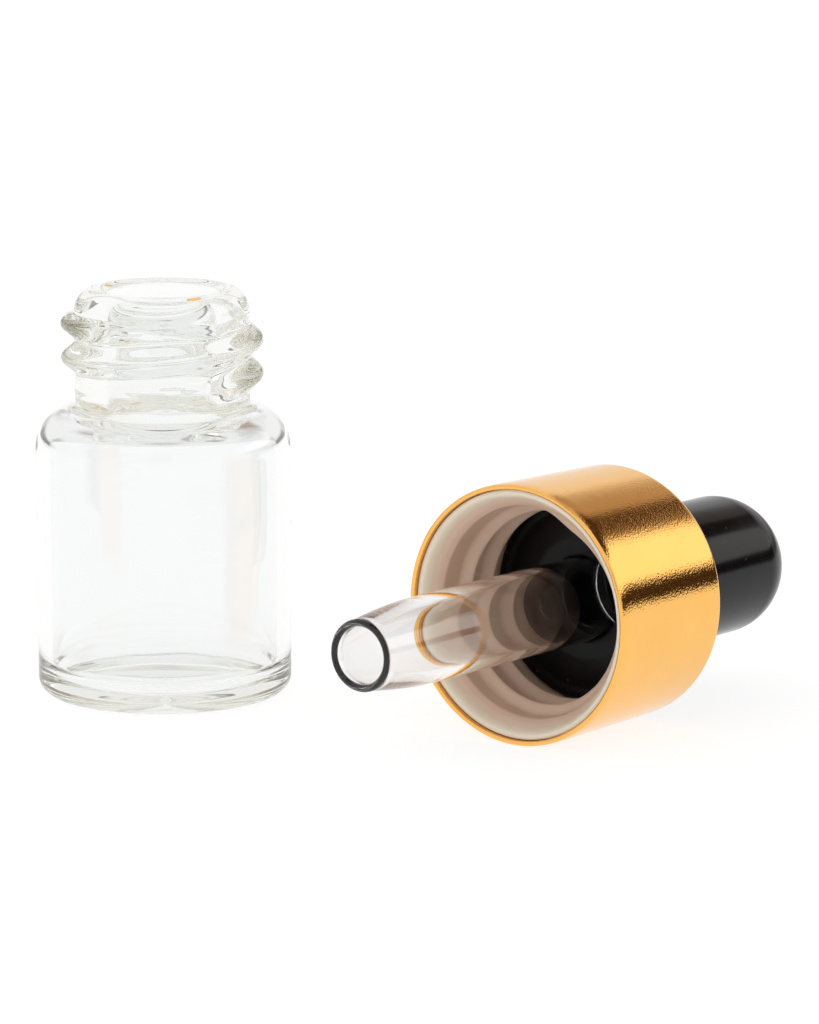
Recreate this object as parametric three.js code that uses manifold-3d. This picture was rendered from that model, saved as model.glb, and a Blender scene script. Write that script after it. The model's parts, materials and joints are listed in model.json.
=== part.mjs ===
// A small glass sample vial with a screw-on pipette dropper.
// The vial stands open; the dropper lies beside it on the side of its collar, tip towards -Y.
// Millimetres, +Z up. The origin is the middle of the vial's flat base.

import * as THREE from "three";
import { mergeVertices } from "three/addons/utils/BufferGeometryUtils.js";
import Module from "manifold-3d";

const wasm = await Module();
wasm.setup();

// ---------- driving dimensions ----------

const SEGMENTS = 48; // around every piece but the pipette

const VIAL = {
  height: 25.7,
  bodyRadius: 8,
  baseCorner: 1.1,
  wall: 0.9,
  floor: 1.3,
  shoulderFrom: 15.6, // height at which the straight body ends
  shoulderRise: 2.5,
  shoulderIn: 2.1, // how far the shoulder's curve comes in
  neckRadius: 5.5,
  neckFillet: 0.4,
  lipRound: 0.95,
  boreRadius: 3.7,
};

// One thread for both: a rounded bead on the neck, and a ridge in the cap that runs between its turns.
const THREAD = {
  pitch: 2.15,
  crest: 0.85, // the bead's height over the neck
  halfWidth: 1.02,
  zAtPlusX: 20.2, // height of the bead's lowest crest where it crosses +X
  firstDegrees: -60,
  lastDegrees: 600,
  runOut: 45, // degrees over which the bead fades into the neck at each end
  stepDegrees: 20,
};

const COLLAR = { radius: 8, rearRadius: 7.845, length: 10.62, wall: 0.3, rearEdge: 0.35, hole: 4.55 };

const INNER_CAP = {
  radius: 7.6,
  mouthRadius: 7.35,
  rootRadius: 6.5,
  ridgeRadius: 5.85,
  front: 0.35, // set back from the collar's rim
  ceiling: 8.3,
  rear: 10.15,
  hole: 4.4,
  ridgeFirst: 1.9,
  ridgeTurns: 2.1,
  ridgeCrest: 0.3, // half width at the tip of the ridge
  ridgeFoot: 0.6, // half width where it meets the wall
};

const BULB = {
  radius: 4.38,
  neckRadius: 4.2,
  flangeRadius: 6.3,
  sealFace: 6.95, // how deep the flange's face sits in the cap
  flange: 1.2,
  shoulder: 10.82,
  length: 25.45, // from the collar's rim to the end of the dome
  dome: 4.1,
  bore: 2.75,
  cavityRadius: 3.2,
  cavityFrom: 11,
  cavityTo: 24.2,
};

const PIPETTE = {
  segments: 32,
  radius: 2.6,
  bore: 2,
  tipRadius: 2.15,
  tipBore: 1.7,
  tip: -15.15, // beyond the collar's rim
  taperTo: -8.9,
  top: 10.2,
  topBore: 1.2,
  edge: 0.25,
};

// Where the dropper lies: the middle of the collar's open rim, and the way its bulb points.
const LYING = { x: 21.77, y: -15.15, azimuth: THREE.MathUtils.degToRad(52.4) };

// ---------- helpers ----------

/** Points on an elliptical arc, from angle a0 to a1 in degrees. */
function arc(cx, cy, rx, ry, a0, a1, steps) {
  return Array.from({ length: steps + 1 }, (_, i) => {
    const a = THREE.MathUtils.degToRad(a0 + ((a1 - a0) * i) / steps);
    return [cx + rx * Math.cos(a), cy + ry * Math.sin(a)];
  });
}

/** A solid of revolution about Z. The outline is [radius, height] points, and its inside is on the left. */
function turned(outline, segments = SEGMENTS) {
  const points = outline.map(([r, z]) => new THREE.Vector2(r, z));
  const onAxis = points[0].x === 0 && points.at(-1).x === 0;
  if (!onAxis) points.push(points[0].clone());
  return closed(new THREE.LatheGeometry(points, segments).rotateX(Math.PI / 2));
}

/** The same geometry with shared vertices merged, so that only its shape is left. */
function closed(geometry) {
  geometry.deleteAttribute("normal");
  geometry.deleteAttribute("uv");
  return mergeVertices(geometry, 1e-5);
}

function solid(geometry) {
  return new wasm.Manifold(
    new wasm.Mesh({
      numProp: 3,
      vertProperties: new Float32Array(geometry.attributes.position.array),
      triVerts: new Uint32Array(geometry.index.array),
    }),
  );
}

function geometryOf(manifold) {
  const mesh = manifold.getMesh();
  const geometry = new THREE.BufferGeometry();
  geometry.setAttribute("position", new THREE.BufferAttribute(mesh.vertProperties, 3));
  geometry.setIndex(new THREE.BufferAttribute(mesh.triVerts, 1));
  return geometry;
}

/**
 * A closed helical rib about Z. section(share) gives its [radius, height] outline, counter-clockwise,
 * at a share from 0 to 1 of the way along.
 */
function helicalRib({ first, last, step, pitch, zAtZero, section }) {
  const rings = Math.round((last - first) / step);
  const positions = [];
  const index = [];
  for (let i = 0; i <= rings; i++) {
    const degrees = first + ((last - first) * i) / rings;
    const a = THREE.MathUtils.degToRad(degrees);
    const lift = zAtZero + (pitch * degrees) / 360;
    for (const [r, z] of section(i / rings)) positions.push(r * Math.cos(a), r * Math.sin(a), z + lift);
  }
  const n = positions.length / 3 / (rings + 1);
  for (let i = 0; i < rings; i++) {
    for (let k = 0; k < n; k++) {
      const [a, b] = [i * n + k, i * n + ((k + 1) % n)];
      index.push(a, a + n, b, b, a + n, b + n);
    }
  }
  const end = rings * n;
  for (let k = 1; k < n - 1; k++) index.push(0, k, k + 1, end, end + k + 1, end + k);
  const geometry = new THREE.BufferGeometry();
  geometry.setAttribute("position", new THREE.Float32BufferAttribute(positions, 3));
  geometry.setIndex(index);
  return geometry;
}

function named(name, geometry, look) {
  const mesh = new THREE.Mesh(geometry, new THREE.MeshStandardMaterial(look));
  mesh.name = name;
  return mesh;
}

// ---------- the vial ----------

function neckBead() {
  const { pitch, crest, halfWidth, firstDegrees, lastDegrees, runOut } = THREAD;
  const fade = (lastDegrees - firstDegrees) / runOut;
  const inside = VIAL.neckRadius - 0.6;
  return helicalRib({
    first: firstDegrees,
    last: lastDegrees,
    step: THREAD.stepDegrees,
    pitch,
    zAtZero: THREAD.zAtPlusX,
    section: (share) => {
      const swell = Math.sin(Math.min(1, share * fade, (1 - share) * fade) * (Math.PI / 2));
      const outer = [-1, -0.66, -0.33, 0, 0.33, 0.66, 1].map((u) => [
        VIAL.neckRadius - 0.03 + crest * swell * (0.5 + 0.5 * Math.cos(Math.PI * u)),
        u * halfWidth,
      ]);
      return [[inside, -halfWidth], ...outer, [inside, halfWidth]];
    },
  });
}

function glassVial() {
  const v = VIAL;
  const shoulderTop = v.shoulderFrom + v.shoulderRise;
  const inner = v.bodyRadius - v.wall;
  const lipMiddle = v.neckRadius - v.lipRound;
  const outline = [
    [0, 0],
    ...arc(v.bodyRadius - v.baseCorner, v.baseCorner, v.baseCorner, v.baseCorner, -90, 0, 4),
    ...arc(v.bodyRadius - v.shoulderIn, v.shoulderFrom, v.shoulderIn, v.shoulderRise, 0, 90, 6),
    ...arc(v.neckRadius + v.neckFillet, shoulderTop + v.neckFillet, v.neckFillet, v.neckFillet, 270, 180, 2),
    ...arc(lipMiddle, v.height - v.lipRound, v.lipRound, v.lipRound, 0, 90, 4),
    ...arc(lipMiddle, v.height - 1.2, lipMiddle - v.boreRadius, 1.2, 100, 180, 4),
    ...arc(v.boreRadius + 0.8, shoulderTop - 0.4, 0.8, 1, 180, 270, 4),
    ...arc(inner - 2.4, v.shoulderFrom - 0.6, 2.4, 2.1, 80, 0, 5),
    ...arc(inner - 1, v.floor + 1, 1, 1, 0, -90, 4),
    [0, v.floor],
  ];
  return geometryOf(solid(turned(outline)).add(solid(neckBead())));
}

// ---------- the dropper, built with the collar's open rim at height 0 and the bulb at the top ----------

function collar() {
  const { radius, rearRadius, length, wall, rearEdge, hole } = COLLAR;
  const innerEdge = rearEdge - wall;
  return turned([
    ...arc(radius - wall / 2, wall / 2, wall / 2, wall / 2, -180, 0, 4),
    ...arc(rearRadius - rearEdge, length - rearEdge, rearEdge, rearEdge, 0, 90, 4),
    [hole, length],
    [hole, length - wall],
    ...arc(rearRadius - rearEdge, length - rearEdge, innerEdge, innerEdge, 90, 0, 3),
  ]);
}

function innerCap() {
  const c = INNER_CAP;
  const shell = turned([
    [c.mouthRadius, c.front],
    [c.radius, c.front],
    [c.radius - 0.12, c.rear - 0.5],
    [c.radius - 0.6, c.rear],
    [c.hole, c.rear],
    [c.hole, c.ceiling],
    [c.rootRadius, c.ceiling],
    [c.rootRadius, c.front + 1.1],
    [c.rootRadius + 0.35, c.front + 0.75],
    [c.mouthRadius - 0.1, c.front + 0.1],
  ]);
  const buried = c.rootRadius + 0.5;
  const ridge = helicalRib({
    first: 0,
    last: 360 * c.ridgeTurns,
    step: THREAD.stepDegrees,
    pitch: THREAD.pitch,
    zAtZero: c.ridgeFirst,
    section: (share) => {
      const swell = Math.sin(Math.min(1, share * 12, (1 - share) * 12) * (Math.PI / 2));
      const tip = c.rootRadius + 0.05 - (c.rootRadius + 0.05 - c.ridgeRadius) * swell;
      return [[buried, -c.ridgeFoot], [buried, c.ridgeFoot], [tip, c.ridgeCrest], [tip, -c.ridgeCrest]];
    },
  });
  return geometryOf(solid(shell).add(solid(ridge)));
}

function rubberBulb() {
  const b = BULB;
  const flangeTop = b.sealFace + b.flange;
  return turned([
    [b.bore, b.sealFace],
    [b.flangeRadius - 0.2, b.sealFace],
    [b.flangeRadius, b.sealFace + 0.2],
    [b.flangeRadius, flangeTop],
    [b.neckRadius, flangeTop],
    [b.neckRadius, b.shoulder],
    [b.radius, b.shoulder + 0.3],
    ...arc(0, b.length - b.dome, b.radius, b.dome, 0, 90, 9),
    [0, b.cavityTo],
    ...arc(0, b.cavityTo - 2.8, b.cavityRadius, 2.8, 80, 0, 4),
    [b.cavityRadius, b.cavityFrom + 0.4],
    [b.bore, b.cavityFrom],
  ]);
}

function glassPipette() {
  const p = PIPETTE;
  const e = p.edge;
  return turned(
    [
      ...arc(p.tipRadius - e, p.tip + e, e, e, -120, 0, 4),
      ...arc(p.tipRadius, p.taperTo, p.radius - p.tipRadius, p.taperTo - p.tip - 1.5, -60, 0, 4),
      ...arc(p.radius - e, p.top - e, e, e, 0, 90, 3),
      ...arc(p.topBore + 0.4, p.top - 0.4, 0.4, 0.4, 90, 180, 3),
      [p.bore, p.top - 1.4],
      [p.bore, p.taperTo],
      [p.tipBore, p.tip + 1.2],
      [p.tipBore, p.tip + 0.3],
    ],
    p.segments,
  );
}

// ---------- assembly ----------

const clearGlass = { color: 0xf3f5f2, roughness: 0.04, metalness: 0, transparent: true, opacity: 0.35 };

const dropper = new THREE.Group();
dropper.add(
  named("glass_pipette", glassPipette(), clearGlass),
  named("collar", collar(), { color: 0xe9a93c, roughness: 0.28, metalness: 1 }),
  named("inner_cap", innerCap(), { color: 0xd8cdc6, roughness: 0.45, metalness: 0 }),
  named("rubber_bulb", rubberBulb(), { color: 0x0c0c0d, roughness: 0.22, metalness: 0 }),
);

// The collar is drawn a little narrower at its rear, so lying on its side it dips that way by this angle.
const dip = Math.asin((COLLAR.radius - COLLAR.rearRadius) / (COLLAR.length - COLLAR.rearEdge - COLLAR.wall / 2));
dropper.rotation.set(0, Math.PI / 2 + dip, LYING.azimuth, "ZYX");
dropper.position.set(LYING.x, LYING.y, COLLAR.radius * Math.cos(dip) + (COLLAR.wall / 2) * Math.sin(dip));

const vialWithDropper = new THREE.Group();
vialWithDropper.add(named("glass_vial", glassVial(), clearGlass), dropper);

export default vialWithDropper;
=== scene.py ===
"""A clear glass sample vial standing open, with its screw-on pipette dropper lying beside it."""

import json
import math

import bpy
from mathutils import Matrix, Vector


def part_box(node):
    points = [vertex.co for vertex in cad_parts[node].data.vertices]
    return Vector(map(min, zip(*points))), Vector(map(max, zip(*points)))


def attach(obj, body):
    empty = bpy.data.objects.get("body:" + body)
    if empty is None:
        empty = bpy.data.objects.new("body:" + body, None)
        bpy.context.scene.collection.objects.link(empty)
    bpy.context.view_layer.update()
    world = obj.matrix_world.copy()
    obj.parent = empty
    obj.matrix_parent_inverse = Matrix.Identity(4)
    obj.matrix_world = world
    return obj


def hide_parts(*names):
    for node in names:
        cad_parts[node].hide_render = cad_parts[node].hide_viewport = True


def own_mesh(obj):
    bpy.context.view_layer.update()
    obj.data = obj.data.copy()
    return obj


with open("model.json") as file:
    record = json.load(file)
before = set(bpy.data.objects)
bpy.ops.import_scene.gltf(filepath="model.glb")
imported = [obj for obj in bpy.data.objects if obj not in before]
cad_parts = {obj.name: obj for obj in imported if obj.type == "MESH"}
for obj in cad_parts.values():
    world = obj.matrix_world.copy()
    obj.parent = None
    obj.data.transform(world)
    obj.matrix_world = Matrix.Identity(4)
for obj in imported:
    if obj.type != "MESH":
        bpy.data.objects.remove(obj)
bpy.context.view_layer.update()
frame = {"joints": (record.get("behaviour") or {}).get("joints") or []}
JOINTS = {joint["name"]: joint for joint in frame["joints"]}

MM = 0.001
SEGMENTS = 192  # around the turned pieces

# ---------- sizes in millimetres: the vial from its base, the dropper from the collar's rim ----------

VIAL_LOW, VIAL_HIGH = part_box("glass_vial")
VIAL_RADIUS = (VIAL_HIGH.x - VIAL_LOW.x) / 2 / MM
VIAL_HEIGHT = VIAL_HIGH.z / MM
VIAL_WALL = 0.9
VIAL_FLOOR = 1.0  # at the floor's edge: spaced() closes the outline, so it falls away to the middle
BASE_CORNER = 1.1
BASE_HOLLOW = 0.2  # how far the middle of the base is pushed up
SHOULDER_FROM = 15.6
SHOULDER_RISE = 2.5
SHOULDER_IN = 2.1
NECK_RADIUS = 5.5
NECK_FILLET = 0.45
LIP_ROUND = 1.15
LIP_RISE = 1.5
BORE_RADIUS = 3.45
MOUTH_RISE = 1.2  # height of the curve from the lip into the bore
BORE_FOOT_IN, BORE_FOOT_RISE = 0.9, 1.1  # the curve at the bore's lower end
INNER_SHOULDER_IN, INNER_SHOULDER_RISE = 1.9, 1.6
INNER_CORNER_IN, INNER_CORNER_RISE = 2.2, 1.5  # the curve from the wall to the floor
VIAL_EDGE = 0.13  # the longest edge along the vial's outline

THREAD_PITCH = 2.15
THREAD_HEIGHT = 0.85
THREAD_HALF_WIDTH = 1.02
THREAD_AT_PLUS_X = 20.3
THREAD_FIRST, THREAD_LAST, THREAD_RUN_OUT = -60, 600, 50  # degrees round the neck
THREAD_SHARPNESS = 0.65  # under 1 the bead is fuller than a cosine wave
GLASS_WAVES = 0.012  # how far the moulded glass waves in and out
NECK_RINGS = 0.08  # how deep the turned marks on the neck are

COLLAR_RADIUS = 8
COLLAR_REAR_RADIUS = 7.85
COLLAR_LENGTH = 10.62
COLLAR_WALL = 0.3
COLLAR_REAR_EDGE = 0.34
COLLAR_HOLE = 4.5
COLLAR_ROLL = 0.05  # how far the wall curls in over its first COLLAR_ROLL_LENGTH
COLLAR_ROLL_LENGTH = 1.0

CAP_RADIUS = 7.62
CAP_MOUTH_RADIUS = 7.35
CAP_ROOT_RADIUS = 6.5
CAP_RIDGE_RADIUS = 5.85
CAP_RIDGE_HALF_WIDTH = 0.62
CAP_FRONT = 0.3
CAP_CEILING = 8.3
CAP_REAR = 10.15
CAP_HOLE = 4.35
CAP_RIDGE_FROM = 1.9
CAP_RIDGE_TURNS = 2.1

SEAL_FACE = 6.95
SEAL_RADIUS = 6.35
SEAL_THICKNESS = 1.2
BULB_NECK_RADIUS = 4.25
BULB_RADIUS = 4.38
BULB_LENGTH = 25.45
BULB_DOME = 4.1
BULB_BORE = 2.64
BULB_CAVITY_RADIUS = 3.2

PIPETTE_RADIUS = 2.6
PIPETTE_BORE = 2.0
PIPETTE_TIP_RADIUS = 2.15
PIPETTE_TIP_BORE = 1.7
PIPETTE_LIP_RISE = 0.3
PIPETTE_TIP = -15.15
PIPETTE_TAPER_FROM = -14.5
PIPETTE_TAPER_TO = -9.2
PIPETTE_TOP = 10.2
BULB_STOP = 10.5  # the step in the bulb that the tube's end stops against
BULB_STOP_BORE = 1.55


# ---------- shapes ----------


def arc(cr, cz, rr, rz, start, end, steps=12):
    """Points on an elliptical arc about (cr, cz), from start to end in degrees."""
    angles = [math.radians(start + (end - start) * i / steps) for i in range(steps + 1)]
    return [(cr + rr * math.cos(a), cz + rz * math.sin(a)) for a in angles]


def softened(outline, radius, steps=4):
    """The outline with each corner sharper than 25 degrees rounded off, where it isn't on the axis."""
    points = []
    for i, (r, z) in enumerate(outline):
        here = Vector((r, z))
        before = Vector(outline[i - 1]) - here
        after = Vector(outline[(i + 1) % len(outline)]) - here
        shortest = min(before.length, after.length)
        if r == 0 or shortest < 1e-6 or math.pi - before.angle(after) < math.radians(25):
            points.append((r, z))
            continue
        a = here + before.normalized() * min(radius, before.length * 0.45)
        b = here + after.normalized() * min(radius, after.length * 0.45)
        for k in range(steps + 1):
            t = k / steps
            points.append(tuple(a * (1 - t) ** 2 + here * 2 * t * (1 - t) + b * t**2))
    return points


def spaced(outline, longest):
    """The outline with points added so that no edge is longer than longest. Its last edge closes it."""
    points = []
    for i, start in enumerate(outline):
        a = Vector(start)
        b = Vector(outline[(i + 1) % len(outline)])
        on_axis = a.x == 0 and b.x == 0
        pieces = 1 if on_axis else max(1, math.ceil((b - a).length / longest))
        points += [tuple(a.lerp(b, k / pieces)) for k in range(pieces)]
    return points


def turned(name, outline, place, segments=SEGMENTS):
    """A closed solid of revolution about Z, put in place, from [radius, height] points in millimetres."""
    vertices = []
    rings = []
    for r, z in outline:
        count = 1 if r == 0 else segments
        rings.append(range(len(vertices), len(vertices) + count))
        for k in range(count):
            a = 2 * math.pi * k / segments
            vertices.append(Vector((r * math.cos(a), r * math.sin(a), z)) * MM)
    closed = outline[0][0] > 0
    faces = []
    for i in range(len(rings) if closed else len(rings) - 1):
        low, high = rings[i], rings[(i + 1) % len(rings)]
        for k in range(segments):
            n = (k + 1) % segments
            corners = [low[k % len(low)], low[n % len(low)], high[n % len(high)], high[k % len(high)]]
            faces.append(list(dict.fromkeys(corners)))
    mesh = bpy.data.meshes.new(name)
    mesh.from_pydata(vertices, [], faces)
    mesh.transform(place)
    mesh.shade_smooth()
    piece = bpy.data.objects.new(name, mesh)
    bpy.context.scene.collection.objects.link(piece)
    return piece


def mark(piece, attribute, value):
    """Stores value(vertex position) on each point, for a node tree to read."""
    stored = piece.data.attributes.new(attribute, "FLOAT", "POINT")
    for vertex, item in zip(piece.data.vertices, stored.data):
        item.value = value(vertex.co)


def add(tree, kind, links=None, **settings):
    """Adds a node. links gives its inputs, by name or number, as a socket to link or a plain value."""
    node = tree.nodes.new(kind)
    for key, value in settings.items():
        setattr(node, key, value)
    for key, value in (links or {}).items():
        socket = node.inputs[key]
        if isinstance(value, bpy.types.NodeSocket):
            tree.links.new(value, socket)
        else:
            socket.default_value = value
    return node


def screw_thread_tree():
    """Raises a rounded helical bead on points marked takes_thread, and gently waves the surface."""
    tree = bpy.data.node_groups.new("screw_thread", "GeometryNodeTree")
    tree.interface.new_socket("Geometry", in_out="INPUT", socket_type="NodeSocketGeometry")
    size_inputs = ("Pitch", "Height", "Half Width", "Height at X", "First", "Last", "Run Out")
    look_inputs = ("Sharpness", "Wave Height", "Ring Height")
    for name in size_inputs + look_inputs:
        tree.interface.new_socket(name, in_out="INPUT", socket_type="NodeSocketFloat")
    tree.interface.new_socket("Material", in_out="INPUT", socket_type="NodeSocketMaterial")
    tree.interface.new_socket("Geometry", in_out="OUTPUT", socket_type="NodeSocketGeometry")
    given = add(tree, "NodeGroupInput").outputs

    def math_node(operation, *values):
        return add(tree, "ShaderNodeMath", dict(enumerate(values)), operation=operation).outputs[0]

    position = add(tree, "GeometryNodeInputPosition").outputs[0]
    x, y, z = add(tree, "ShaderNodeSeparateXYZ", {0: position}).outputs
    turn = math_node("DIVIDE", math_node("ARCTAN2", y, x), 2 * math.pi)
    rise = math_node("DIVIDE", math_node("SUBTRACT", z, given["Height at X"]), given["Pitch"])
    whole = math_node("ROUND", math_node("SUBTRACT", rise, turn))
    along = math_node("ADD", turn, whole)
    away = math_node("ABSOLUTE", math_node("SUBTRACT", rise, along))
    away = math_node("MULTIPLY", away, given["Pitch"])
    share = math_node("MINIMUM", math_node("DIVIDE", away, given["Half Width"]), 1.0)
    bump = math_node("MULTIPLY_ADD", math_node("COSINE", math_node("MULTIPLY", share, math.pi)), 0.5, 0.5)
    bump = math_node("POWER", math_node("MAXIMUM", bump, 0.0), given["Sharpness"])
    from_first = math_node("DIVIDE", math_node("SUBTRACT", along, given["First"]), given["Run Out"])
    from_last = math_node("DIVIDE", math_node("SUBTRACT", given["Last"], along), given["Run Out"])
    nearest = math_node("MINIMUM", from_first, from_last)
    fade = add(
        tree, "ShaderNodeMapRange", {"Value": nearest}, interpolation_type="SMOOTHSTEP"
    ).outputs[0]
    takes = add(tree, "GeometryNodeInputNamedAttribute", {"Name": "takes_thread"}).outputs[0]
    full_height = math_node("MULTIPLY", takes, given["Height"])
    height = math_node("MULTIPLY", math_node("MULTIPLY", bump, fade), full_height)
    outward = add(tree, "ShaderNodeCombineXYZ", {0: x, 1: y, 2: 0.0}).outputs[0]
    outward = add(tree, "ShaderNodeVectorMath", {0: outward}, operation="NORMALIZE").outputs[0]
    bead = add(
        tree, "ShaderNodeVectorMath", {0: outward, "Scale": height}, operation="SCALE"
    ).outputs[0]

    # Waves a few millimetres long and flatter than they are wide, as moulding leaves them.
    stretched = add(
        tree, "ShaderNodeVectorMath", {0: position, 1: (1, 1, 2.5)}, operation="MULTIPLY"
    ).outputs[0]
    noise = add(
        tree, "ShaderNodeTexNoise", {"Vector": stretched, "Scale": 260.0, "Detail": 1.0}
    ).outputs[0]
    wave = math_node("MULTIPLY", math_node("SUBTRACT", noise, 0.5), given["Wave Height"])
    # Finer rings on the threaded stretch, which a mould's turned marks leave.
    ringed = add(
        tree, "ShaderNodeVectorMath", {0: position, 1: (0.12, 0.12, 1)}, operation="MULTIPLY"
    ).outputs[0]
    rings = add(
        tree, "ShaderNodeTexNoise", {"Vector": ringed, "Scale": 3000.0, "Detail": 1.0}
    ).outputs[0]
    ring_height = math_node("MULTIPLY", takes, given["Ring Height"])
    rings = math_node("MULTIPLY", math_node("SUBTRACT", rings, 0.5), ring_height)
    wave = math_node("ADD", wave, rings)
    normal = add(tree, "GeometryNodeInputNormal").outputs[0]
    waves = add(tree, "ShaderNodeVectorMath", {0: normal, "Scale": wave}, operation="SCALE").outputs[0]

    offset = add(tree, "ShaderNodeVectorMath", {0: bead, 1: waves}).outputs[0]
    moved = add(tree, "GeometryNodeSetPosition", {"Geometry": given["Geometry"], "Offset": offset})
    real = add(tree, "GeometryNodeRealizeInstances", {0: moved.outputs[0]})
    finished = add(
        tree, "GeometryNodeSetMaterial", {"Geometry": real.outputs[0], "Material": given["Material"]}
    )
    add(tree, "NodeGroupOutput", {0: finished.outputs[0]})
    return tree


def through(piece, tree, place, **inputs):
    """Runs the piece through a node tree, keeps the result as a plain mesh, and puts it in place."""
    modifier = piece.modifiers.new(tree.name, "NODES")
    modifier.node_group = tree
    for item in tree.interface.items_tree:
        key = item.name.lower().replace(" ", "_")
        if item.in_out == "INPUT" and key in inputs:
            modifier[item.identifier] = inputs[key]
    evaluated = piece.evaluated_get(bpy.context.evaluated_depsgraph_get())
    mesh = bpy.data.meshes.new_from_object(evaluated)
    piece.modifiers.clear()
    piece.data = mesh
    mesh.transform(place)
    mesh.shade_smooth()
    return piece


def dropper_place():
    """The dropper's own frame: the origin in the collar's open rim, +Z towards the bulb."""
    turn = JOINTS["cap_turn"]
    z = Vector(turn["axis"]).normalized()
    x = (Vector((0, 0, 1)) - z * z.z).normalized()
    y = z.cross(x)
    return Matrix.Translation(turn["pos_m"]) @ Matrix((x, y, z)).transposed().to_4x4()


STANDING = Matrix.Identity(4)
LYING = dropper_place()


# ---------- materials ----------


def linear(code):
    """The linear colour of an sRGB hex value."""
    parts = [int(code[i : i + 2], 16) / 255 for i in (1, 3, 5)]
    return [p / 12.92 if p <= 0.04045 else ((p + 0.055) / 1.055) ** 2.4 for p in parts] + [1.0]


def material(name, **sockets):
    """A new material's tree and its Principled shader, with the sockets that are the same all over."""
    made = bpy.data.materials.new(name)
    made.use_nodes = True
    shader = made.node_tree.nodes["Principled BSDF"]
    for key, value in sockets.items():
        shader.inputs[key.replace("_", " ")].default_value = value
    return made, made.node_tree, shader


def bumped(tree, shader, height, distance, strength=1.0):
    """Gives the shader a bump from a height between 0 and 1, distance metres tall."""
    bump = add(tree, "ShaderNodeBump", {"Height": height, "Distance": distance, "Strength": strength})
    tree.links.new(bump.outputs[0], shader.inputs["Normal"])


def soda_lime_glass(name, wall, tint, density):
    """Clear drawn glass: polished, so it shows its reflections and a faint green-grey where it is thick.

    Light on its way to a shadow passes straight through it, so that its own shadow stays pale.
    """
    made, tree, shader = material(
        name,
        Base_Color=linear(wall),
        Roughness=0.0,
        IOR=1.5,
        Transmission_Weight=1.0,
    )
    absorb = add(tree, "ShaderNodeVolumeAbsorption", {"Color": linear(tint), "Density": density})
    output = tree.nodes["Material Output"]
    tree.links.new(absorb.outputs[0], output.inputs["Volume"])
    position = add(tree, "ShaderNodeTexCoord").outputs["Object"]
    ripple = add(
        tree, "ShaderNodeTexNoise", {"Vector": position, "Scale": 500.0, "Detail": 2.0}
    ).outputs[0]
    bumped(tree, shader, ripple, 0.002 * MM)
    clear = add(tree, "ShaderNodeBsdfTransparent", {"Color": linear("#eef0ee")})
    for_lamps = add(tree, "ShaderNodeLightPath").outputs["Is Shadow Ray"]
    mixed = add(tree, "ShaderNodeMixShader", {0: for_lamps, 1: shader.outputs[0], 2: clear.outputs[0]})
    tree.links.new(mixed.outputs[0], output.inputs["Surface"])
    return made


def gold_anodised_aluminium():
    """Drawn aluminium, etched and anodised gold: mirror-bright, with a fine sparkling grain."""
    made, tree, shader = material("gold_anodised_aluminium", Metallic=1.0)
    position = add(tree, "ShaderNodeTexCoord").outputs["Object"]
    grain = add(
        tree, "ShaderNodeTexNoise", {"Vector": position, "Scale": 1 / (0.12 * MM), "Detail": 1.0}
    ).outputs[0]
    cloud = add(
        tree, "ShaderNodeTexNoise", {"Vector": position, "Scale": 1 / (3 * MM), "Detail": 3.0}
    ).outputs[0]
    colour = add(
        tree,
        "ShaderNodeMix",
        {"Factor": cloud, "A": linear("#fdc46e"), "B": linear("#f9bb62")},
        data_type="RGBA",
    )
    tree.links.new(colour.outputs["Result"], shader.inputs["Base Color"])
    rough = add(tree, "ShaderNodeMapRange", {"Value": grain, "To Min": 0.06, "To Max": 0.12}).outputs[0]
    tree.links.new(rough, shader.inputs["Roughness"])
    bumped(tree, shader, grain, 0.0085 * MM)
    return made


def natural_polypropylene():
    """Moulded natural polypropylene: milky, waxy and a little see-through, in a tan that holds a painted
    warm reflection of the gold collar, with a painted highlight that makes its rim paler.
    """
    made, tree, shader = material(
        "natural_polypropylene",
        Roughness=0.42,
        IOR=1.49,
        Subsurface_Weight=0.6,
        Subsurface_Radius=(1.0, 0.8, 0.65),
        Subsurface_Scale=1.2 * MM,
    )
    position = add(tree, "ShaderNodeTexCoord").outputs["Object"]
    flow = add(
        tree, "ShaderNodeTexNoise", {"Vector": position, "Scale": 1 / (2.5 * MM), "Detail": 3.0}
    ).outputs[0]
    # These tan colours are partly the plastic's own milky tone and partly a painted warm reflection of the
    # gold collar; the noise between them is random tone from the moulding's flow.
    colour = add(
        tree,
        "ShaderNodeMix",
        {"Factor": flow, "A": linear("#dfc1ab"), "B": linear("#d2b099")},
        data_type="RGBA",
    )
    # Painted highlight: within about a millimetre of the open rim the colour turns paler (#f6e2cb), as
    # where light falls on the rim while the inside lies in shade.
    depth = add(tree, "ShaderNodeAttribute", attribute_name="depth").outputs["Fac"]
    lip = add(
        tree,
        "ShaderNodeMapRange",
        {"Value": depth, "From Min": 0.5 * MM, "From Max": 1.3 * MM, "To Min": 1, "To Max": 0},
    ).outputs[0]
    colour = add(
        tree,
        "ShaderNodeMix",
        {"Factor": lip, "A": colour.outputs["Result"], "B": linear("#f6e2cb")},
        data_type="RGBA",
    )
    tree.links.new(colour.outputs["Result"], shader.inputs["Base Color"])
    fine = add(
        tree, "ShaderNodeTexNoise", {"Vector": position, "Scale": 1 / (0.3 * MM), "Detail": 2.0}
    ).outputs[0]
    bumped(tree, shader, fine, 0.006 * MM)
    return made


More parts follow.
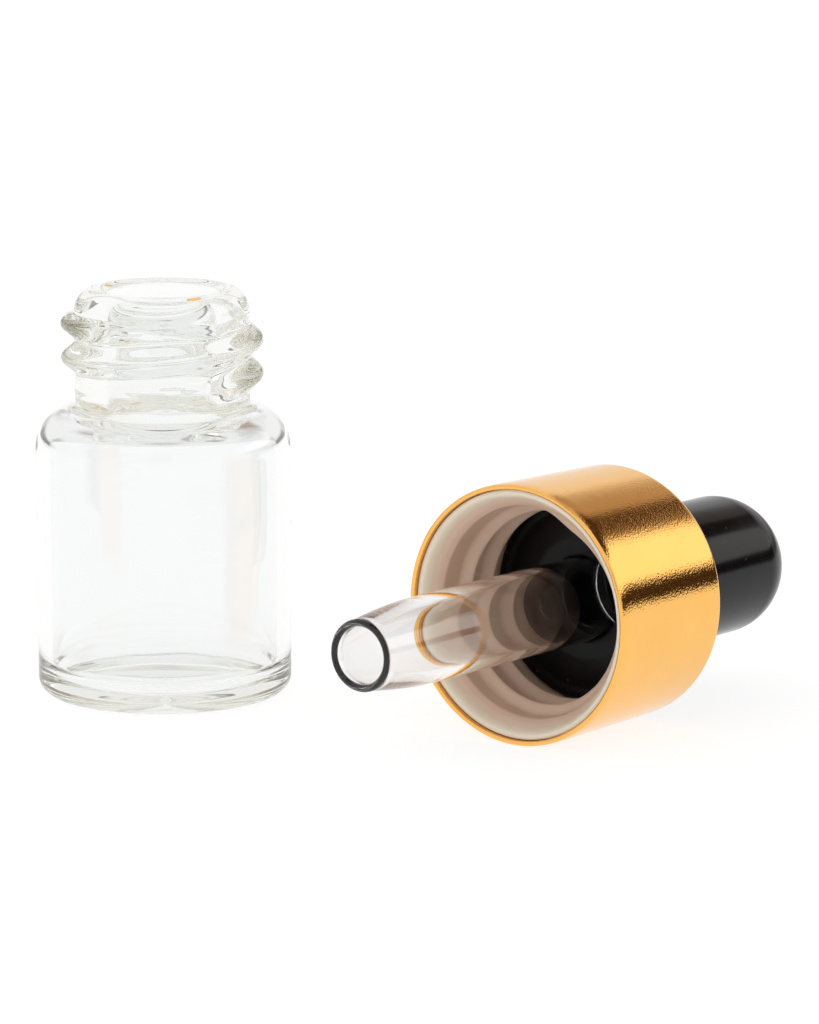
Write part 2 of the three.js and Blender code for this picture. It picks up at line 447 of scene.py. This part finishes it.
def black_rubber(name, ior, least_rough, most_rough):
    """Moulded nitrile rubber with a few specks of dust, glossy where its mould was polished."""
    made, tree, shader = material(name, IOR=ior)
    position = add(tree, "ShaderNodeTexCoord").outputs["Object"]
    specks = add(
        tree, "ShaderNodeTexVoronoi", {"Vector": position, "Scale": 1 / (1.6 * MM)}
    ).outputs["Distance"]
    dust = add(
        tree,
        "ShaderNodeMapRange",
        {"Value": specks, "From Min": 0.035, "From Max": 0.05, "To Min": 1.0, "To Max": 0.0},
    ).outputs[0]
    colour = add(
        tree,
        "ShaderNodeMix",
        {"Factor": dust, "A": linear("#070708"), "B": linear("#4a4a4c")},
        data_type="RGBA",
    )
    tree.links.new(colour.outputs["Result"], shader.inputs["Base Color"])
    smear = add(
        tree, "ShaderNodeTexNoise", {"Vector": position, "Scale": 1 / (2 * MM), "Detail": 3.0}
    ).outputs[0]
    rough = add(
        tree, "ShaderNodeMapRange", {"Value": smear, "To Min": least_rough, "To Max": most_rough}
    ).outputs[0]
    tree.links.new(rough, shader.inputs["Roughness"])
    peel = add(
        tree, "ShaderNodeTexNoise", {"Vector": position, "Scale": 1 / (0.8 * MM), "Detail": 2.0}
    ).outputs[0]
    bumped(tree, shader, peel, 0.003 * MM)
    return made


# ---------- pieces ----------


def make_vial(tree, glass):
    shoulder_top = SHOULDER_FROM + SHOULDER_RISE
    inner = VIAL_RADIUS - VIAL_WALL
    lip_middle = NECK_RADIUS - LIP_ROUND
    outline = [
        (0, BASE_HOLLOW),
        *arc(0, 0, VIAL_RADIUS - BASE_CORNER - 0.6, BASE_HOLLOW, 80, 20, 8),
        *arc(VIAL_RADIUS - BASE_CORNER, BASE_CORNER, BASE_CORNER, BASE_CORNER, -90, 0, 16),
        *arc(VIAL_RADIUS - SHOULDER_IN, SHOULDER_FROM, SHOULDER_IN, SHOULDER_RISE, 0, 90, 20),
        *arc(
            NECK_RADIUS + NECK_FILLET, shoulder_top + NECK_FILLET, NECK_FILLET, NECK_FILLET, 270, 180, 6
        ),
        *arc(lip_middle, VIAL_HEIGHT - LIP_RISE, LIP_ROUND, LIP_RISE, 0, 90, 16),
        *arc(lip_middle, VIAL_HEIGHT - MOUTH_RISE, lip_middle - BORE_RADIUS, MOUTH_RISE, 96, 180, 12),
        *arc(BORE_RADIUS + BORE_FOOT_IN, shoulder_top - 0.3, BORE_FOOT_IN, BORE_FOOT_RISE, 180, 262, 10),
        *arc(
            inner - INNER_SHOULDER_IN,
            SHOULDER_FROM + 0.15,
            INNER_SHOULDER_IN,
            INNER_SHOULDER_RISE,
            84,
            0,
            16,
        ),
        *arc(
            inner - INNER_CORNER_IN,
            VIAL_FLOOR + INNER_CORNER_RISE,
            INNER_CORNER_IN,
            INNER_CORNER_RISE,
            0,
            -90,
            16,
        ),
        (0, VIAL_FLOOR),
    ]
    piece = turned("vial_glass_body", spaced(outline[:-1], VIAL_EDGE) + outline[-1:], STANDING)
    low = (shoulder_top + NECK_FILLET) * MM
    high = (VIAL_HEIGHT - LIP_RISE) * MM
    outside = (NECK_RADIUS - 0.2) * MM
    mark(piece, "takes_thread", lambda p: float(low < p.z < high and math.hypot(p.x, p.y) > outside))
    through(
        piece,
        tree,
        STANDING,
        pitch=THREAD_PITCH * MM,
        height=THREAD_HEIGHT * MM,
        half_width=THREAD_HALF_WIDTH * MM,
        height_at_x=THREAD_AT_PLUS_X * MM,
        first=THREAD_FIRST / 360,
        last=THREAD_LAST / 360,
        run_out=THREAD_RUN_OUT / 360,
        sharpness=THREAD_SHARPNESS,
        wave_height=GLASS_WAVES * MM,
        ring_height=NECK_RINGS * MM,
        material=glass,
    )
    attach(piece, "vial")
    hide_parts("glass_vial")
    return piece


def make_collar(gold):
    half = COLLAR_WALL / 2
    edge = COLLAR_REAR_EDGE
    inner_edge = 0.04
    rear = COLLAR_LENGTH - edge
    front = COLLAR_RADIUS - COLLAR_ROLL
    wall = []
    for i in range(1, 40):
        t = i / 40
        z = half + (rear - half) * t
        curl = max(0, 1 - z / COLLAR_ROLL_LENGTH) ** 2
        wall.append((COLLAR_RADIUS + (COLLAR_REAR_RADIUS - COLLAR_RADIUS) * t - COLLAR_ROLL * curl, z))
    outline = [
        (CAP_RADIUS + 0.02, 0.26),
        (CAP_RADIUS + 0.02, 0.1),
        *arc(front - half, half, half, half, -105, 0, 8),
        *wall,
        *arc(COLLAR_REAR_RADIUS - edge, rear, edge, edge, 0, 90, 12),
        (COLLAR_HOLE, COLLAR_LENGTH),
        (COLLAR_HOLE, COLLAR_LENGTH - COLLAR_WALL),
        *arc(COLLAR_REAR_RADIUS - edge, rear, inner_edge, inner_edge, 90, 0, 2),
        (COLLAR_RADIUS - COLLAR_WALL, COLLAR_ROLL_LENGTH),
    ]
    piece = turned("collar_shell", softened(outline, 0.08), LYING)
    piece.data.materials.append(gold)
    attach(piece, "cap")
    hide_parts("collar")
    return piece


def make_inner_cap(tree, plastic):
    outline = [
        (CAP_MOUTH_RADIUS, CAP_FRONT),
        (CAP_RADIUS, CAP_FRONT),
        (CAP_RADIUS - 0.15, CAP_REAR - 0.6),
        (CAP_RADIUS - 0.7, CAP_REAR),
        (CAP_HOLE, CAP_REAR),
        (CAP_HOLE, CAP_CEILING),
        (CAP_ROOT_RADIUS, CAP_CEILING),
        (CAP_ROOT_RADIUS, CAP_FRONT + 1.2),
        (CAP_ROOT_RADIUS + 0.4, CAP_FRONT + 0.7),
        (CAP_MOUTH_RADIUS - 0.12, CAP_FRONT + 0.12),
    ]
    piece = turned("inner_cap_moulding", spaced(softened(outline, 0.12), 0.1), STANDING)
    low, high = (CAP_FRONT + 1.2) * MM, (CAP_CEILING - 0.2) * MM
    near = (CAP_ROOT_RADIUS + 0.1) * MM
    mark(piece, "takes_thread", lambda p: float(low < p.z < high and math.hypot(p.x, p.y) < near))
    # The height from the rim, which the plastic reads for its painted rim highlight.
    mark(piece, "depth", lambda p: p.z)
    through(
        piece,
        tree,
        LYING,
        pitch=THREAD_PITCH * MM,
        height=(CAP_RIDGE_RADIUS - CAP_ROOT_RADIUS) * MM,
        half_width=CAP_RIDGE_HALF_WIDTH * MM,
        height_at_x=CAP_RIDGE_FROM * MM,
        first=0.0,
        last=CAP_RIDGE_TURNS,
        run_out=0.08,
        sharpness=1.0,
        wave_height=0.0,
        ring_height=0.0,
        material=plastic,
    )
    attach(piece, "cap")
    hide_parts("inner_cap")
    return piece


def make_bulb(glossy, dull):
    """The bulb in two pieces: the dome, the part that is squeezed, given a mesh of its own, and the neck
    and flange in the cap.
    """
    flange_top = SEAL_FACE + SEAL_THICKNESS
    ring = 0.03  # the low sealing rings' height
    neck = [
        (BULB_BORE, SEAL_FACE),
        (3.4, SEAL_FACE),
        (3.55, SEAL_FACE - ring),
        (3.85, SEAL_FACE - ring),
        (4.0, SEAL_FACE),
        (5.3, SEAL_FACE),
        (5.4, SEAL_FACE + ring),
        (5.7, SEAL_FACE + ring),
        (5.8, SEAL_FACE),
        (SEAL_RADIUS, SEAL_FACE),
        (SEAL_RADIUS, flange_top),
        (BULB_NECK_RADIUS, flange_top),
        (BULB_NECK_RADIUS, COLLAR_LENGTH + 0.05),
        (BULB_STOP_BORE, COLLAR_LENGTH + 0.6),
        (BULB_STOP_BORE, BULB_STOP),
        (BULB_BORE, BULB_STOP),
    ]
    flange = turned("bulb_flange_and_neck", softened(neck, 0.15), LYING)
    dome_middle = BULB_LENGTH - BULB_DOME
    cavity_end = BULB_LENGTH - 1.2
    dome_top = arc(0, dome_middle, BULB_RADIUS, BULB_DOME, 0, 90, 28)
    dome_outline = [
        (0, cavity_end),
        *arc(0, cavity_end - 2.8, BULB_CAVITY_RADIUS, 2.8, 80, 0, 12),
        (BULB_CAVITY_RADIUS, COLLAR_LENGTH + 0.6),
        (BULB_BORE + 0.1, COLLAR_LENGTH + 0.1),
        (BULB_RADIUS - 0.25, COLLAR_LENGTH + 0.1),
        (BULB_RADIUS, COLLAR_LENGTH + 0.6),
        *dome_top[:-1],
        (0, dome_top[-1][1]),
    ]
    dome = turned("bulb_dome", softened(dome_outline, 0.15), LYING)
    for piece, rubber in ((flange, dull), (dome, glossy)):
        piece.data.materials.append(rubber)
        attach(piece, "pipette")
        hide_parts("rubber_bulb")
    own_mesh(dome)
    return flange, dome


def make_pipette(glass):
    """A straight tube, drawn in a little towards its fire-polished tip."""
    lip = (PIPETTE_TIP_RADIUS - PIPETTE_TIP_BORE) / 2
    steps = 24

    def drawn_in(i, tip, full):
        t = i / steps
        share = 0.45 * (1 - (1 - t) ** 4) + 0.55 * (0.5 - 0.5 * math.cos(math.pi * t))
        z = PIPETTE_TAPER_FROM + (PIPETTE_TAPER_TO - PIPETTE_TAPER_FROM) * t
        return (tip + (full - tip) * share, z)

    outline = [
        *arc(
            PIPETTE_TIP_RADIUS - lip, PIPETTE_TIP + PIPETTE_LIP_RISE, lip, PIPETTE_LIP_RISE, -180, 0, 20
        ),
        *(drawn_in(i, PIPETTE_TIP_RADIUS, PIPETTE_RADIUS) for i in range(steps + 1)),
        *arc(PIPETTE_RADIUS - 0.3, PIPETTE_TOP - 0.3, 0.3, 0.3, 0, 90, 8),
        *arc(PIPETTE_BORE + 0.2, PIPETTE_TOP - 0.2, 0.2, 0.2, 90, 180, 6),
        *(drawn_in(i, PIPETTE_TIP_BORE, PIPETTE_BORE) for i in range(steps, -1, -1)),
    ]
    piece = turned("pipette_tube", outline, LYING)
    piece.data.materials.append(glass)
    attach(piece, "pipette")
    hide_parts("glass_pipette")
    return piece


# ---------- the studio ----------

TENT = (0.92, 0.92, 0.92, 1.0)
BACKDROP = (1.05, 1.05, 1.05, 1.0)  # what is seen straight behind the object
# Each panel: its light, then in degrees its reach round from +Y towards +X, its reach up, and its
# soft edge. A panel lies over the ones before it.
PANELS = (
    # The collar's bands from its top down: brown, dark, bright, dark.
    ((0.46, 0.37, 0.33, 1.0), (14, 60), (28, 46), 3),
    ((0.07, 0.04, 0.03, 1.0), (36, 80), (31, 45), 1.5),
    ((1.45, 1.42, 1.36, 1.0), (54, 94), (11, 31.5), 0.7),
    ((0.05, 0.03, 0.02, 1.0), (56, 92), (-10, 10.5), 0.7),
    # The grey marks in the thread and the neck: the far side of the room, and a gap overhead.
    ((0.50, 0.50, 0.48, 1.0), (170, 190), (8, 26), 3),
    ((0.50, 0.50, 0.48, 1.0), (-190, -170), (8, 26), 3),
    ((0.10, 0.10, 0.10, 1.0), (-190, 190), (77, 95), 3),
    # The grey lines in the vial's thick base.
    ((0.30, 0.30, 0.28, 1.0), (15, 54), (-12, 8), 3),
    ((0.30, 0.30, 0.28, 1.0), (-60, -15), (-12, 8), 3),
)


def make_floor():
    """A white table, lit a little from below, so that shadows on it stay pale."""
    side = 3.0
    corners = [(-side, -side, 0), (side, -side, 0), (side, side, 0), (-side, side, 0)]
    mesh = bpy.data.meshes.new("table")
    mesh.from_pydata(corners, [], [(0, 1, 2, 3)])
    floor = bpy.data.objects.new("table", mesh)
    bpy.context.scene.collection.objects.link(floor)
    made, tree, shader = material(
        "white_table",
        Base_Color=linear("#8c8c8c"),
        Roughness=0.9,
        Specular_IOR_Level=0.0,
        Emission_Color=linear("#ffffff"),
        Emission_Strength=0.82,
    )
    mesh.materials.append(made)


def make_world():
    """A white tent seen only in reflections and through glass, with brighter and darker panels in it."""
    world = bpy.data.worlds.new("studio")
    bpy.context.scene.world = world
    world.use_nodes = True
    tree = world.node_tree
    direction = add(tree, "ShaderNodeTexCoord").outputs["Generated"]
    x, y, z = add(tree, "ShaderNodeSeparateXYZ", {0: direction}).outputs
    across = add(tree, "ShaderNodeMath", {0: x, 1: y}, operation="ARCTAN2").outputs[0]
    above = add(tree, "ShaderNodeMath", {0: z}, operation="ARCSINE").outputs[0]
    light = TENT
    for radiance, around, up, softness in PANELS:
        mask = 1.0
        for value, (low, high) in ((across, around), (above, up)):
            for edge, inside in ((low, 1.0), (high, 0.0)):
                limits = {
                    "Value": value,
                    "From Min": math.radians(edge - softness),
                    "From Max": math.radians(edge + softness),
                    "To Min": 1.0 - inside,
                    "To Max": inside,
                }
                step = add(
                    tree, "ShaderNodeMapRange", limits, interpolation_type="SMOOTHSTEP"
                ).outputs[0]
                mask = add(tree, "ShaderNodeMath", {0: mask, 1: step}, operation="MULTIPLY").outputs[0]
        light = add(
            tree,
            "ShaderNodeMix",
            {"Factor": mask, "A": light, "B": radiance},
            data_type="RGBA",
            clamp_factor=True,
        ).outputs["Result"]
    seen = add(tree, "ShaderNodeLightPath").outputs["Is Camera Ray"]
    shown = add(tree, "ShaderNodeMix", {"Factor": seen, "A": light, "B": BACKDROP}, data_type="RGBA")
    tree.links.new(shown.outputs["Result"], tree.nodes["Background"].inputs["Color"])


CAMERA_AT = (15.47, -301, 69.93)
CAMERA_DIPS = 11.0  # degrees below level
CAMERA_FIELD = 12.0  # degrees from top to bottom


def make_camera():
    camera = bpy.data.cameras.new("camera")
    camera.sensor_fit = "VERTICAL"
    camera.sensor_height = 24
    camera.lens = camera.sensor_height / 2 / math.tan(math.radians(CAMERA_FIELD) / 2)
    camera.clip_start = 0.01
    holder = bpy.data.objects.new("camera", camera)
    holder.location = Vector(CAMERA_AT) * MM
    holder.rotation_euler = (math.radians(90 - CAMERA_DIPS), 0, 0)
    bpy.context.scene.collection.objects.link(holder)
    bpy.context.scene.camera = holder


make_camera()
make_world()
make_floor()
bpy.context.scene.view_settings.view_transform = "Standard"
for kind in ("max_bounces", "glossy_bounces", "transmission_bounces"):
    setattr(bpy.context.scene.cycles, kind, 32)  # light turns many corners inside thick glass

thread = screw_thread_tree()
make_vial(thread, soda_lime_glass("soda_lime_glass", "#fafbfb", "#d2cca4", 13.0))
make_pipette(soda_lime_glass("pipette_glass", "#fcfcfc", "#d0cfc8", 6.0))
make_collar(gold_anodised_aluminium())
make_inner_cap(thread, natural_polypropylene())
make_bulb(
    black_rubber("black_nitrile_rubber", 1.31, 0.1, 0.2),
    black_rubber("black_nitrile_rubber_seal", 1.3, 0.3, 0.45),
)
